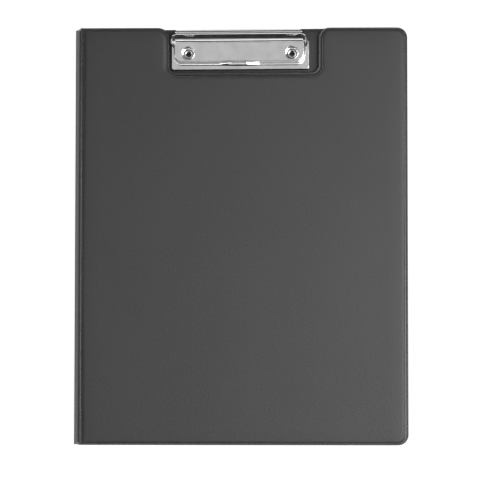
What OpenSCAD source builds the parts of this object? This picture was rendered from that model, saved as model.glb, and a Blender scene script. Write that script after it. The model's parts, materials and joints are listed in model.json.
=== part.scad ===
// Clip folder: a vinyl-covered board with a spring clip, a spine and a folding front cover.
// Closed and lying on its back. X runs from the spine to the free edge, Y up to the clip, Z up.
// The origin is under the middle of the closed folder.

/* [Covers] */
// Height of both covers, from bottom edge to top edge
cover_h = 317.5; // [240:0.5:380]
// Width of each cover, from its crease to its free edge
cover_w = 248.5; // [180:0.5:320]
// Thickness of the greyboard inside the covers and the spine
board_t = 2; // [1.4:0.1:2.6]
// Thickness of each vinyl sheet
sheet_t = 0.35; // [0.25:0.05:0.45]
// Radius of the free outer corners
corner_r = 8; // [6:0.5:20]

/* [Welded edge] */
// Width of the welded edge around the boards
weld_w = 2.5; // [2.4:0.1:4]
// Width of the bead along the outside of that edge
bead_w = 1.1; // [0.8:0.1:1.6]
// Height of the bead over the welded edge
bead_h = 0.2; // [0.1:0.05:0.3]
// Width over which the face of a panel rounds down to the weld
shoulder_w = 0.9; // [0.5:0.1:1.2]

/* [Spine] */
// Width of the spine, from crease to crease
spine_w = 13; // [11.5:0.5:24]
// Lean of the closed spine from upright, towards the free edge
spine_lean = 25; // [8:1:28]
// Distance from a crease to the panels on both sides of it
crease_gap = 2.2; // [2.2:0.1:2.8]
// Radius of the round bead along each crease
crease_r = 0.7; // [0.5:0.05:0.8]

/* [Pocket] */
// Height of the pocket inside the front cover at the spine
pocket_h = 150; // [80:1:190]
// How much lower its mouth is at the free edge
pocket_drop = 40; // [0:1:60]
// Thickness of the pocket film
pocket_t = 0.3; // [0.2:0.05:0.4]

/* [Clip base] */
// Distance from the top edge of the back cover to the pivot of the clip
pivot_edge = 12.25; // [10:0.25:25]
// How far the clip stands to the right of the middle of the back cover
clip_shift = 2; // [0:0.1:4]
// Width of the base plate
base_w = 106; // [95:1:150]
// Distance from the pivot to the front edge of the base plate
base_front = 19.4; // [18.8:0.1:28]
// Distance from the pivot to the rear edge of the base plate
base_rear = 2.4; // [2.2:0.1:4]
// Height of the base plate over the board
base_h = 2.5; // [2:0.1:4]
// Thickness of the base's sheet steel
base_t = 0.9; // [0.7:0.05:1.1]
// Outside radius of the base's bent edges
base_bend = 1.6; // [1.2:0.1:2]
// Radius of the ears that carry the pivot pin
ear_r = 2.1; // [1.9:0.1:2.6]
// Height of the pivot over the base plate
pivot_h = 2.4; // [2.4:0.1:3.5]

/* [Clip flap] */
// How far each side wall of the flap stands inside the edge of the base plate
flap_inset = 3; // [2:0.1:8]
// How far the flap sits to the left of the base plate's middle
flap_offset = 0.5; // [0:0.1:2]
// Thickness of the flap's sheet steel
flap_t = 0.8; // [0.6:0.05:1]
// Distance from the pivot to the front bend of the flap
flap_front = 14.2; // [13:0.1:16]
// How far the lip runs forward of that bend
lip_run = 1.8; // [1:0.1:3.2]
// Radius of the flap's front corners, seen from above
flap_corner_r = 6; // [4:0.5:8]
// Radius of its bent edges
flap_bend = 1.5; // [1.1:0.1:2.4]
// Width of the arch in the middle of the lip
arch_w = 33; // [20:1:50]
// Height of that arch
arch_h = 2.8; // [1:0.1:3.2]
// Height of the lever over the flap
lever_h = 9.6; // [7:0.1:14]
// Lean of the lever behind upright
lever_lean = 23; // [10:1:30]
// How far the lever's ears stand out beyond the side walls
lever_ear = 1.5; // [0.5:0.1:2.5]
// How far each end of the lever's top stands inside the side walls
lever_taper = 2.7; // [0.5:0.1:5]
// Radius of the rolled edge along the top of the lever
roll_r = 1.1; // [0.8:0.05:1.4]

/* [Pin, spring and rivets] */
// Radius of the pivot pin
pin_r = 1; // [0.8:0.05:1.1]
// Radius of the spring wire
wire_r = 0.45; // [0.35:0.05:0.5]
// Whole turns of the spring
spring_turns = 6; // [3:1:10]
// Length of the spring's two legs
leg_len = 9; // [6:0.5:11]
// Distance from each rivet to the nearer side edge of the base plate
rivet_inset = 13.4; // [12:0.1:20]
// Distance from the pivot to the rivets
rivet_front = 7.1; // [6.9:0.1:9]
// Radius of the rivet's head
rivet_head_r = 3.8; // [3.2:0.1:4.2]
// Radius of the rivet's shank
rivet_r = 2.4; // [2.1:0.1:2.8]
// Radius of the rivet's hollow
rivet_bore_r = 1.8; // [1.2:0.1:1.8]
// Thickness of the rivet's closed end, under the back
rivet_end_t = 0.6; // [0.4:0.05:1]
// Radius of the washer pressed into the back
washer_r = 6; // [5:0.5:8]
// Radius of the holes in the flap over the rivets
access_r = 4.9; // [4.6:0.1:5.4]

/* [Clearances] */
// Gap between moving pieces that are not a fit
gap = 0.3; // [0.2:0.05:0.4]
// Gap around the pivot pin, on the radius
pin_fit = 0.05; // [0.03:0.01:0.09]
// Gap between a board and the walls around it
board_gap = 0.1; // [0.05:0.05:0.2]
// Gap between the notch and the left side of the clip base
notch_left = 0.9; // [0.8:0.1:6]
// Gap between the notch and the right side of the clip base
notch_right = 6.9; // [3:0.1:10]
// Gap between the notch and the front of the clip base
notch_front = 2.4; // [1.5:0.1:6]
// Radius of the notch's two inner corners
notch_r = 5.2; // [3:0.1:10]
// Radius of the two corners where the notch meets the top edge
notch_lip_r = 8.5; // [5.4:0.1:12]

/* [Hidden] */
$fn = 48;
past = 1; // how far a cutter runs past what it cuts
CORNER_STEPS = 8;
SHOULDER_STEPS = 3;

half_t = board_t / 2 + sheet_t;
panel_t = 2 * half_t;
crease_start = crease_r + gap;
board_edge = weld_w + 0.6 * shoulder_w;
board_crease = crease_gap + 0.6 * shoulder_w;

// The two crease axes of the closed folder, and the slope of its front cover
spine_rise = spine_w * cos(spine_lean);
spine_run = spine_w * sin(spine_lean);
upper_z = half_t + spine_rise;
free_z = panel_t + pocket_t + gap + half_t;
cover_slope = asin((upper_z - free_z) / (cover_w - weld_w));
folder_w = crease_r + spine_run + cover_w * cos(cover_slope);
lower_x = crease_r - folder_w / 2;
upper_x = lower_x + spine_run;

// Where the clip stands on the back cover, and where the notch lies along the front cover
clip_x = lower_x + cover_w / 2 + clip_shift;
pivot_y = cover_h / 2 - pivot_edge;
base_z = panel_t + base_h;
pivot_z = base_z + pivot_h;
flap_w = base_w - 2 * flap_inset;
lever_w = flap_w - 2 * lever_taper;
rivet_pitch = base_w - 2 * rivet_inset;
notch_w = base_w + notch_left + notch_right;
notch_mid = (clip_x + (notch_right - notch_left) / 2 - upper_x) / cos(cover_slope);
notch_d = pivot_edge + base_front + notch_front;

// Flap heights, measured from the pivot
flap_under = ear_r + gap;
flap_top = flap_under + flap_t;
flap_low = gap - pivot_h;
lever_t = flap_t / cos(lever_lean);
lever_foot = base_rear - 1;
lever_top = flap_top + lever_h;
lever_run = (lever_top - flap_under) * tan(lever_lean);
skirt_r = -flap_low;
ear_gap = 0.5;
ear_x = flap_w / 2 - flap_t - flap_offset - ear_gap - base_t / 2;
rim_w = 0.9;
rim_h = 0.45;

// Rivets
seat_r = rivet_head_r + 2.4;
head_t = 0.8;
clinch_t = sheet_t - 0.05;
clinch_r = rivet_r + 1;
washer_t = 0.5;
rivet_fit = 0.05;

// An arc as points, from angle a to angle b around c
function arc(c, r, a, b) =
    [for (i = [0 : CORNER_STEPS]) c + r * [cos(a + (b - a) * i / CORNER_STEPS), sin(a + (b - a) * i / CORNER_STEPS)]];

// Outlines run anticlockwise. e is the distance inside the free edges, c the distance from the crease
function plain_outline(e, c) =
    let (w = cover_w, h = cover_h / 2, r = corner_r)
    concat(
        [[c, e - h]],
        arc([w - r, r - h], r - e, -90, 0),
        arc([w - r, h - r], r - e, 0, 90),
        [[c, h - e]]
    );

function notched_outline(e, c) =
    let (
        w = cover_w, h = cover_h / 2, r = corner_r, lip = notch_lip_r,
        right = notch_mid + notch_w / 2, left = notch_mid - notch_w / 2, floor_y = h - notch_d
    )
    concat(
        [[c, e - h]],
        arc([w - r, r - h], r - e, -90, 0),
        arc([w - r, h - r], r - e, 0, 90),
        arc([right + lip, h - lip], lip - e, 90, 180),
        arc([right - notch_r, floor_y + notch_r], notch_r + e, 0, -90),
        arc([left + notch_r, floor_y + notch_r], notch_r + e, -90, -180),
        arc([left - lip, h - lip], lip - e, 0, 90),
        [[c, h - e]]
    );

function spine_outline(e, c) =
    let (h = cover_h / 2)
    [[c, e - h], [spine_w - c, e - h], [spine_w - c, h - e], [c, h - e]];

// The section of a welded sheet, as [distance from the edge, distance from the crease, height]:
// the face, its rounded shoulder, the weld groove, the bead, the seam, and the bed of the board
shoulder_rings = [
    for (i = [0 : SHOULDER_STEPS]) let (a = 90 * i / SHOULDER_STEPS, s = shoulder_w * (1 - sin(a)))
        [weld_w + s, crease_gap + s, sheet_t + (half_t - sheet_t) * cos(a)]
];
crease_bead = 0.4;
bead_rings = [
    [bead_w, crease_start + crease_bead, sheet_t],
    [0.75 * bead_w, crease_start + 0.75 * crease_bead, sheet_t + bead_h],
    [0.25 * bead_w, crease_start + 0.25 * crease_bead, sheet_t + bead_h],
    [0, crease_start, sheet_t - bead_h / 2],
    [0, crease_start, 0]
];
bed_rings = [[board_edge, board_crease, 0], [board_edge, board_crease, half_t - sheet_t]];
sheet_rings = concat(shoulder_rings, bead_rings, bed_rings);

// A flat face is cut into triangles by fans, each one the apex and the run of points that it joins
function plain_fans() = [[0, [for (i = [1 : 2 * CORNER_STEPS + 3]) i]]];

function notched_fans() =
    let (s = CORNER_STEPS, notch = 4 * s + 5)
    [
        [0, concat([for (i = [1 : s + 1]) i], [for (i = [notch : 6 * s + 7]) i])],
        [s + 1, [for (i = [s + 2 : notch]) i]]
    ];

function spine_fans() = [[0, [1, 2, 3]]];

function fan_faces(fans) =
    [for (f = fans) for (i = [0 : len(f[1]) - 2]) [f[0], f[1][i], f[1][i + 1]]];

// One vinyl sheet, its face up and its seam on the plane z = 0
module sheet(outline, fans) {
    n = len(outline(0, 0));
    last = len(sheet_rings) - 1;
    points = [for (ring = sheet_rings) for (p = outline(ring[0], ring[1])) [p[0], p[1], ring[2]]];
    sides = [
        for (k = [0 : last - 1]) for (i = [0 : n - 1])
            let (a = k * n + i, b = k * n + (i + 1) % n)
                each [[a, b, b + n], [a, b + n, a + n]]
    ];
    face = [for (t = fan_faces(fans)) [t[2], t[1], t[0]]];
    bed = [for (t = fan_faces(fans)) [for (i = t) i + last * n]];
    polyhedron(points, concat(sides, face, bed));
}

module board(outline) {
    translate([0, 0, -board_t / 2])
        linear_extrude(board_t)
            polygon(outline(board_edge + board_gap, board_crease + board_gap));
}

// Where each panel lies in the closed folder. Its own x runs from its crease, with its face up
module on_back() {
    translate([lower_x, 0, half_t]) mirror([0, 0, 1]) children();
}

module on_spine() {
    translate([lower_x, 0, half_t]) rotate([0, spine_lean - 90, 0]) children();
}

module on_cover() {
    translate([upper_x, 0, upper_z]) rotate([0, cover_slope, 0]) children();
}

module on_pivot() {
    translate([clip_x, pivot_y, pivot_z]) children();
}

// Draws in the YZ plane, and runs along X from x0 for length
module across(x0, length) {
    translate([x0, 0, 0]) rotate([90, 0, 90]) linear_extrude(length) children();
}

module at_rivet(side) {
    translate([clip_x + side * rivet_pitch / 2, pivot_y - rivet_front, 0]) children();
}

module rivet_holes(r, z0, z1) {
    for (side = [-1, 1]) at_rivet(side) translate([0, 0, z0]) cylinder(h = z1 - z0, r = r);
}

// Vinyl and board

module back_outer_sheet() {
    color("#2b2c2e") difference() {
        on_back() sheet(function(e, c) plain_outline(e, c), plain_fans());
        rivet_holes(washer_r + board_gap, -past, sheet_t + past / 4);
    }
}

module back_board() {
    color("#9b9286") difference() {
        on_back() board(function(e, c) plain_outline(e, c));
        rivet_holes(washer_r + board_gap, 0, clinch_t + washer_t);
        rivet_holes(rivet_r + rivet_fit, 0, panel_t);
    }
}

module back_inner_sheet() {
    color("#2b2c2e") difference() {
        on_back() mirror([0, 0, 1]) sheet(function(e, c) plain_outline(e, c), plain_fans());
        rivet_holes(rivet_r + rivet_fit, half_t, panel_t + past);
    }
}

module crease() {
    rotate([90, 0, 0]) cylinder(h = cover_h, r = crease_r, center = true);
}

module lower_crease() {
    color("#202123") on_spine() crease();
}

module upper_crease() {
    color("#202123") on_spine() translate([spine_w, 0, 0]) crease();
}

module spine_outer_sheet() {
    color("#2b2c2e") on_spine() sheet(function(e, c) spine_outline(e, c), spine_fans());
}

module spine_board() {
    color("#9b9286") on_spine() board(function(e, c) spine_outline(e, c));
}

module spine_inner_sheet() {
    color("#2b2c2e") on_spine() mirror([0, 0, 1]) sheet(function(e, c) spine_outline(e, c), spine_fans());
}

module cover_outer_sheet() {
    color("#2b2c2e") on_cover() sheet(function(e, c) notched_outline(e, c), notched_fans());
}

module cover_board() {
    color("#9b9286") on_cover() board(function(e, c) notched_outline(e, c));
}

module cover_inner_sheet() {
    color("#2b2c2e") on_cover() mirror([0, 0, 1]) sheet(function(e, c) notched_outline(e, c), notched_fans());
}

// The pocket film lies on the inside of the cover, with a slanting mouth
module cover_pocket() {
    inset = shoulder_w + 1;
    x0 = crease_gap + inset;
    x1 = cover_w - weld_w - inset;
    y0 = weld_w + inset - cover_h / 2;
    color("#3a3b3d") on_cover() translate([0, 0, -half_t - pocket_t]) linear_extrude(pocket_t)
        polygon([[x0, y0], [x1, y0], [x1, y0 + pocket_h - pocket_drop], [x0, y0 + pocket_h]]);
}

// Sheet steel

// A box outline from x0 to x1 and up to height h, its two top corners rounded
module arched(x0, x1, h, r) {
    translate([x0, 0]) square([x1 - x0, h - r]);
    translate([x0 + r, 0]) square([x1 - x0 - 2 * r, h]);
    for (x = [x0 + r, x1 - r]) translate([x, h - r]) circle(r);
}

// The base is a shallow tray, open side down and open at the rear
module base_block(inset) {
    half_w = base_w / 2 - inset;
    h = base_h - inset;
    r = base_bend - inset;
    depth = base_front + base_rear;
    intersection() {
        across(-half_w, 2 * half_w) arched(inset - base_front, base_rear + base_bend + past, h, r);
        translate([0, base_rear, 0]) rotate([90, 0, 0]) linear_extrude(depth) arched(-half_w, half_w, h, r);
    }
}

module base_ear() {
    across(-base_t / 2, base_t) {
        translate([-ear_r, -pivot_h - base_t / 2]) square([2 * ear_r, pivot_h + base_t / 2]);
        circle(ear_r);
    }
}

module clip_base() {
    relief = 1.1;
    color("#b9babb") difference() {
        union() {
            translate([clip_x, pivot_y, panel_t]) difference() {
                base_block(0);
                translate([0, past, -past / 1000]) base_block(base_t);
                for (side = [-1, 1])
                    translate([side * (base_w / 2 - relief), relief - base_front, -past])
                        cylinder(h = base_h + past - base_t, r = relief + base_t / 2);
            }
            for (side = [-1, 1]) at_rivet(side) translate([0, 0, panel_t]) cylinder(h = base_h, r = seat_r + base_t);
            on_pivot() for (side = [-1, 1]) translate([side * ear_x, 0, 0]) base_ear();
        }
        rivet_holes(seat_r, panel_t + base_t, base_z + past);
        rivet_holes(rivet_r + rivet_fit, panel_t - past, base_z);
        on_pivot() across(-base_w / 2, base_w) circle(pin_r + pin_fit);
    }
}

// The side of the flap: lip, plate, and the round ear under the pivot, drawn inset by its sheet
module flap_side(inset) {
    slope = lip_run / (flap_top - flap_low);
    bend_c = [inset - flap_front + 0.6 * flap_bend, flap_top - flap_bend];
    polygon(concat(
        [[inset - flap_front - lip_run, flap_low - (inset > 0 ? past : 0)]],
        [[0, flap_low - (inset > 0 ? past : 0)]],
        inset > 0 ? [[base_rear + past, flap_low - past]] : arc([0, 0], skirt_r, -90, 0),
        [[lever_foot + lever_t + (inset > 0 ? past : 0), inset > 0 ? 0 : skirt_r / 2]],
        [[lever_foot + lever_t + (inset > 0 ? past : 0), flap_top - inset]],
        arc(bend_c, flap_bend - inset, 90, 180 - atan(slope))
    ));
}

module flap_outline(inset) {
    half_w = flap_w / 2 - inset;
    front = flap_front + lip_run - inset;
    r = flap_corner_r - inset;
    translate([-half_w, r - front]) square([2 * half_w, front - r + base_rear + past]);
    translate([r - half_w, -front]) square([2 * (half_w - r), r + past]);
    for (x = [r - half_w, half_w - r]) translate([x, r - front]) circle(r);
}

module flap_block(inset) {
    half_w = flap_w / 2 - inset;
    height = flap_top - flap_low + past;
    intersection() {
        across(-half_w, 2 * half_w) flap_side(inset);
        translate([0, 0, flap_low - past]) linear_extrude(height + past) flap_outline(inset);
        translate([0, base_rear + 2 * past, flap_low - past]) rotate([90, 0, 0])
            linear_extrude(flap_front + lip_run + base_rear + 3 * past)
                arched(-half_w, half_w, flap_top - inset - flap_low + past, flap_bend - inset);
    }
}

// The lever leans back from the rear of the flap, with a rolled top edge
module lever() {
    across(-flap_w / 2 - lever_ear, flap_w + 2 * lever_ear)
        polygon([
            [lever_foot, flap_under], [lever_foot + lever_t, flap_under],
            [lever_foot + lever_t + lever_run, lever_top], [lever_foot + lever_run, lever_top]
        ]);
    translate([0, lever_foot + lever_run + lever_t / 2, lever_top])
        rotate([0, 90, 0]) cylinder(h = lever_w, r = roll_r, center = true);
}

// Its front outline: two round ears, widest near the flap, that draw in to the narrower top
module lever_front() {
    widest = flap_top + lever_h / 4;
    rise = lever_top - roll_r - widest;
    flare = lever_ear + lever_taper;
    right = [
        for (i = [0 : CORNER_STEPS]) let (a = 90 * i / CORNER_STEPS)
            [lever_w / 2 + flare * cos(a), widest + rise * sin(a)]
    ];
    left = [for (i = [CORNER_STEPS : -1 : 0]) [-right[i][0], right[i][1]]];
    top = lever_top + roll_r + past;
    foot_w = flap_w / 2;
    polygon(concat(
        [[-foot_w, flap_low], [foot_w, flap_low], [foot_w, flap_under]], right,
        [[lever_w / 2, top], [-lever_w / 2, top]], left, [[-foot_w, flap_under]]
    ));
}

// A gusset joins each side wall to the lever
module gusset() {
    reach = 0.6 * lever_h;
    foot = lever_foot + lever_t / 2;
    across(0, flap_t)
        polygon([
            [-ear_r, flap_top - flap_t], [foot, flap_top - flap_t],
            [foot + (reach + flap_t) * tan(lever_lean), flap_top + reach],
            [foot + reach * tan(lever_lean) - flap_t, flap_top + reach]
        ]);
}

module clip_flap() {
    arch_r = (arch_w * arch_w / 4 + arch_h * arch_h) / (2 * arch_h);
    color("#c6c7c8") on_pivot() difference() {
        union() {
            translate([-flap_offset, 0, 0]) {
                difference() {
                    flap_block(0);
                    flap_block(flap_t);
                }
                intersection() {
                    lever();
                    translate([0, lever_foot + lever_run + 5 * past, 0]) rotate([90, 0, 0])
                        linear_extrude(lever_run + 10 * past) lever_front();
                }
                translate([-flap_w / 2, 0, 0]) gusset();
                translate([flap_w / 2 - flap_t, 0, 0]) gusset();
            }
            for (side = [-1, 1]) translate([side * rivet_pitch / 2, -rivet_front, flap_top])
                rotate_extrude()
                    polygon([
                        [access_r - rim_h, -rim_h], [access_r + rim_w, -rim_h],
                        [access_r + rim_w, 0], [access_r + rim_w / 2, rim_h], [access_r - rim_h, rim_h]
                    ]);
        }
        for (side = [-1, 1]) translate([side * rivet_pitch / 2, -rivet_front, 0])
            cylinder(h = flap_top + past, r = access_r);
        across(-flap_w, 2 * flap_w) circle(pin_r + pin_fit);
        translate([-flap_offset, 0, flap_low + arch_h - arch_r]) rotate([90, 0, 0])
            cylinder(h = flap_front + lip_run + past, r = arch_r, $fn = 96);
    }
}

// The pin runs through both ears and both side walls, with a flat head outside each
module pivot_pin() {
    head_t = 0.9;
    head_r = 1.7;
    left = -flap_w / 2 - flap_offset - gap;
    right = flap_w / 2 - flap_offset + gap;
    color("#d0d0d0") on_pivot() {
        across(left, right - left) circle(pin_r);
        across(left - head_t, head_t) circle(head_r);
        across(right, head_t) circle(head_r);
    }
}

// A torsion spring round the pin: a leg on the base, the turns, and a leg under the flap
module clip_spring() {
    SIDES = 6;
    PER_TURN = 12;
    coil_r = pin_r + pin_fit + gap / 2 + wire_r;
    pitch = 2 * wire_r + 0.45;
    half_turns = spring_turns + 0.5;
    steps = half_turns * PER_TURN;
    length = half_turns * pitch;
    // Each entry: [x, angle of the wire round the pin, how far the leg runs forward]
    path = concat(
        [[-length / 2, -90, leg_len], [-length / 2, -90, leg_len / 2]],
        [for (i = [0 : steps]) [i * length / steps - length / 2, 360 * i / PER_TURN - 90, 0]],
        [[length / 2, 360 * half_turns - 90, leg_len / 2], [length / 2, 360 * half_turns - 90, leg_len]]
    );
    n = len(path);
    points = [
        for (p = path) for (j = [0 : SIDES - 1])
            let (q = 360 * j / SIDES, r = coil_r + wire_r * cos(q))
                [p[0] + wire_r * sin(q), r * cos(p[1]) - p[2], r * sin(p[1])]
    ];
    sides = [
        for (k = [0 : n - 2]) for (j = [0 : SIDES - 1])
            let (a = k * SIDES + j, b = k * SIDES + (j + 1) % SIDES)
                each [[a, b + SIDES, b], [a, a + SIDES, b + SIDES]]
    ];
    ends = [[for (j = [0 : SIDES - 1]) j], [for (j = [SIDES - 1 : -1 : 0]) (n - 1) * SIDES + j]];
    color("#8d8f92") on_pivot() polyhedron(points, concat(sides, ends));
}

// A hollow rivet with a closed end: head in the seat of the base, shank through the back cover,
// clinched over the washer
module rivet(side) {
    top = panel_t + base_t + head_t;
    color("#d6d6d6") at_rivet(side) rotate_extrude()
        polygon([
            [0, 0], [clinch_r, 0], [clinch_r, clinch_t], [rivet_r, clinch_t],
            [rivet_r, panel_t + base_t], [rivet_head_r, panel_t + base_t],
            [rivet_head_r, top - head_t / 2], [rivet_head_r - head_t / 2, top],
            [rivet_bore_r + head_t / 2, top], [rivet_bore_r, top - head_t / 2],
            [rivet_bore_r, rivet_end_t], [0, rivet_end_t]
        ]);
}

module rivet_left() {
    rivet(-1);
}

module rivet_right() {
    rivet(1);
}

module rivet_washer(side) {
    color("#c2c2c2") at_rivet(side) translate([0, 0, clinch_t]) difference() {
        cylinder(h = washer_t, r = washer_r);
        translate([0, 0, -past]) cylinder(h = washer_t + 2 * past, r = rivet_r + rivet_fit);
    }
}

module rivet_washer_left() {
    rivet_washer(-1);
}

module rivet_washer_right() {
    rivet_washer(1);
}

back_outer_sheet();
back_board();
back_inner_sheet();
lower_crease();
spine_outer_sheet();
spine_board();
spine_inner_sheet();
upper_crease();
cover_outer_sheet();
cover_board();
cover_inner_sheet();
cover_pocket();
clip_base();
clip_flap();
pivot_pin();
clip_spring();
rivet_left();
rivet_right();
rivet_washer_left();
rivet_washer_right();
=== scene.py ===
"""Looks of the clip folder: vinyl covers over greyboard, welded creases, and a nickel-plated clip."""

import json
import math

import bmesh
import bpy
from mathutils import Matrix, Vector


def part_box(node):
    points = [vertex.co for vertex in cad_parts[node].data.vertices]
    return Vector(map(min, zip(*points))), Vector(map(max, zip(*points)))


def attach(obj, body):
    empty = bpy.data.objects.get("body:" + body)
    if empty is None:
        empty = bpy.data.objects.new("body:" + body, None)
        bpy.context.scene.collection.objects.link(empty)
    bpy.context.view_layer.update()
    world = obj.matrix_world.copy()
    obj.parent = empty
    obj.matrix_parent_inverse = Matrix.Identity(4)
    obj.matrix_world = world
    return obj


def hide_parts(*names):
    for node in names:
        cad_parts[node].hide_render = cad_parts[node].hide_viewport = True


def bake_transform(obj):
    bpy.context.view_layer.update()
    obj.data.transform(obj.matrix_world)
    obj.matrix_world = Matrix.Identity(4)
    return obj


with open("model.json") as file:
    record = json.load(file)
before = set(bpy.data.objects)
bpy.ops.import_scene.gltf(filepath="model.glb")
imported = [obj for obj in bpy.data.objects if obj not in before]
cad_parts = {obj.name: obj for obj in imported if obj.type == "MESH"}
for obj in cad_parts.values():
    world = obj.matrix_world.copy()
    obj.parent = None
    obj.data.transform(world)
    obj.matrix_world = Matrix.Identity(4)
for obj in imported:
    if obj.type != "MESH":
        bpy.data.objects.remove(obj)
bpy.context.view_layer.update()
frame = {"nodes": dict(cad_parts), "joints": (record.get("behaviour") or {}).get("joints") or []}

MM = 0.001
JOINTS = {joint["name"]: joint for joint in frame["joints"]}


def in_mm(place):
    """A place in metres, as a vector in millimetres."""
    return Vector(place) / MM


# ---- Camera: above the folder, with the slight tilt and perspective of the photograph ----

# Place, lens and sensor are in millimetres, the turn is in degrees and the reach in metres
CAMERA_PLACE = (88.3, -83.1, 1471.0)
CAMERA_TURN = (2.815, 3.159, 0.033)
CAMERA_LENS = 139.04
SENSOR = 36.0
CAMERA_REACH = 50

camera_data = bpy.data.cameras.new("camera")
camera_data.sensor_width = SENSOR
camera_data.lens = CAMERA_LENS
camera_data.clip_end = CAMERA_REACH
camera = bpy.data.objects.new("camera", camera_data)
camera.location = Vector(CAMERA_PLACE) * MM
camera.rotation_euler = [math.radians(angle) for angle in CAMERA_TURN]
bpy.context.scene.collection.objects.link(camera)
bpy.context.scene.camera = camera
bpy.context.scene.view_settings.view_transform = "Standard"

# ---- Sizes of the folder, in millimetres ----

LOWER = in_mm(JOINTS["spine_fold"]["pos_m"])  # axis of the crease between back and spine
UPPER = in_mm(JOINTS["cover_fold"]["pos_m"])  # axis of the crease between spine and front cover
PIVOT = in_mm(JOINTS["clip_open"]["pos_m"])  # axis of the clip's pin
SPINE_LEAN = math.atan2(UPPER.x - LOWER.x, UPPER.z - LOWER.z)
COVER_SLOPE = math.radians(JOINTS["cover_fold"]["range_deg"][1] - 90) + SPINE_LEAN
SPINE_W = (UPPER - LOWER).length
COVER_W = in_mm(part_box("back_inner_sheet")[1]).x - LOWER.x
HALF_H = in_mm(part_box("back_inner_sheet")[1]).y

SHEET_T = 0.35
HALF_T = LOWER.z  # half of a panel's thickness
CORNER_R = 8.0
WELD_W = 2.5  # the flat weld along a panel's long edge
END_WELD_SHARE = 0.62  # the weld along a short edge, as a share of that
SHOULDER_W = 2.6  # the rounded shoulder between the weld and the face
CREASE_GAP = 2.2  # from a crease's axis to the shoulder beside it
COVER_CREASE_GAP = 1.7
CREASE_START = 1.0  # from a crease's axis to the end of the sheet beside it
CREASE_R = 0.7
CORNER_STEPS = 12
ROUND_STEPS = 48

BASE_BOX = [in_mm(corner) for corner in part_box("clip_base")]
NOTCH_LEFT_GAP = 0.9
NOTCH_RIGHT_GAP = 6.9
NOTCH_FRONT_GAP = 2.4
NOTCH_R = 5.2
NOTCH_LIP_R = 8.5
NOTCH_LEFT = (BASE_BOX[0].x - NOTCH_LEFT_GAP - UPPER.x) / math.cos(COVER_SLOPE)
NOTCH_RIGHT = (BASE_BOX[1].x + NOTCH_RIGHT_GAP - UPPER.x) / math.cos(COVER_SLOPE)
NOTCH_FLOOR = BASE_BOX[0].y - NOTCH_FRONT_GAP

# Where each panel lies: its own x runs from its crease, and its own z out of its face
ON_BACK = Matrix.Translation(LOWER) @ Matrix.Scale(-1, 4, (0, 0, 1))
ON_SPINE = Matrix.Translation(LOWER) @ Matrix.Rotation(SPINE_LEAN - math.pi / 2, 4, "Y")
ON_COVER = Matrix.Translation(UPPER) @ Matrix.Rotation(COVER_SLOPE, 4, "Y")
FLIP = Matrix.Scale(-1, 4, (0, 0, 1))

# ---- Small helpers for meshes ----

MERGE_GAP = 0.002
SMOOTH_ANGLE = 40  # an edge that turns more than this, in degrees, is shaded sharp


def finish_mesh(bm, name, place=None, smooth_angle=SMOOTH_ANGLE):
    """Makes an object of a mesh in millimetres, with its place in its mesh and its faces outwards."""
    bmesh.ops.remove_doubles(bm, verts=bm.verts, dist=MERGE_GAP)
    bm.transform(Matrix.Scale(MM, 4) @ (place or Matrix.Identity(4)))
    bmesh.ops.recalc_face_normals(bm, faces=bm.faces)
    if all(edge.is_manifold for edge in bm.edges) and bm.calc_volume(signed=True) < 0:
        bmesh.ops.reverse_faces(bm, faces=bm.faces)
    mesh = bpy.data.meshes.new(name)
    bm.to_mesh(mesh)
    bm.free()
    mesh.shade_smooth()
    mesh.set_sharp_from_angle(angle=math.radians(smooth_angle))
    obj = bpy.data.objects.new(name, mesh)
    bpy.context.scene.collection.objects.link(obj)
    return obj


def apply_modifiers(obj):
    """Turns the object's live modifiers into its plain mesh."""
    graph = bpy.context.evaluated_depsgraph_get()
    mesh = bpy.data.meshes.new_from_object(obj.evaluated_get(graph))
    obj.modifiers.clear()
    obj.data = mesh
    return obj


def arc(centre_x, centre_y, radius, start, end, radius_y=None):
    """Points on an arc, from angle start to angle end in degrees."""
    steps = [math.radians(start + (end - start) * i / CORNER_STEPS) for i in range(CORNER_STEPS + 1)]
    tall = radius_y or radius
    return [(centre_x + radius * math.cos(a), centre_y + tall * math.sin(a)) for a in steps]


def bridge(bm, ring_a, ring_b):
    """Quads between two closed rings of as many points."""
    count = len(ring_a)
    for i in range(count):
        j = (i + 1) % count
        bm.faces.new((ring_a[i], ring_a[j], ring_b[j], ring_b[i]))


# ---- Vinyl panels ----


def plain_outline(edge, crease):
    """The back's outline, this far inside its edge and from its crease."""
    end = END_WELD_SHARE * edge
    r, tall = CORNER_R - edge, CORNER_R - end
    x, y = COVER_W - CORNER_R, HALF_H - CORNER_R
    return (
        [(crease, -HALF_H + end)]
        + arc(x, -y, r, -90, 0, tall)
        + arc(x, y, r, 0, 90, tall)
        + [(crease, HALF_H - end)]
    )


def notched_outline(edge, crease):
    """The front cover's outline, with the notch for the clip between two rounded lips."""
    end = END_WELD_SHARE * edge
    r, tall = CORNER_R - edge, CORNER_R - end
    x, y = COVER_W - CORNER_R, HALF_H - CORNER_R
    lip, lip_tall = NOTCH_LIP_R - edge, NOTCH_LIP_R - end
    lip_y = HALF_H - NOTCH_LIP_R
    inner = NOTCH_R + edge
    return (
        [(crease, -HALF_H + end)]
        + arc(x, -y, r, -90, 0, tall)
        + arc(x, y, r, 0, 90, tall)
        + arc(NOTCH_RIGHT + NOTCH_LIP_R, lip_y, lip, 90, 180, lip_tall)
        + arc(NOTCH_RIGHT - NOTCH_R, NOTCH_FLOOR + NOTCH_R, inner, 0, -90)
        + arc(NOTCH_LEFT + NOTCH_R, NOTCH_FLOOR + NOTCH_R, inner, -90, -180)
        + arc(NOTCH_LEFT - NOTCH_LIP_R, lip_y, lip, 0, 90, lip_tall)
        + [(crease, HALF_H - end)]
    )


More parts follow.
